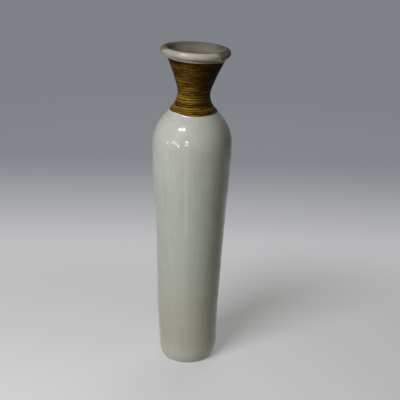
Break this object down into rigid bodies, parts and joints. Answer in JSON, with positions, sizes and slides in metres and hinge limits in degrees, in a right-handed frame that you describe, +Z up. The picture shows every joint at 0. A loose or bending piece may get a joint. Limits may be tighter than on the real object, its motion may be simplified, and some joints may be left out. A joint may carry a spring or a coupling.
{
  "type": "bottle vase",
  "caption": "Tall glazed bottle vase with a rounded shoulder, a rolled lip and a flared neck wound with cane, for branches and long-stemmed flowers.",
  "frame": {"origin": "centre of the standing ring, on the surface that the vase stands on", "axes": "+Z up along the axis of the vase, -Y towards the front as pictured"},
  "size_m": [0.218, 0.218, 0.9],
  "materials": {
    "glaze": "glossy pale celadon glaze, unglazed standing ring",
    "cane": "varnished golden-brown cane"
  },
  "bodies": {
    "root": {"vase_body": "glaze", "lower_cane": "cane", "upper_cane": "cane"}
  },
  "joints": []
}
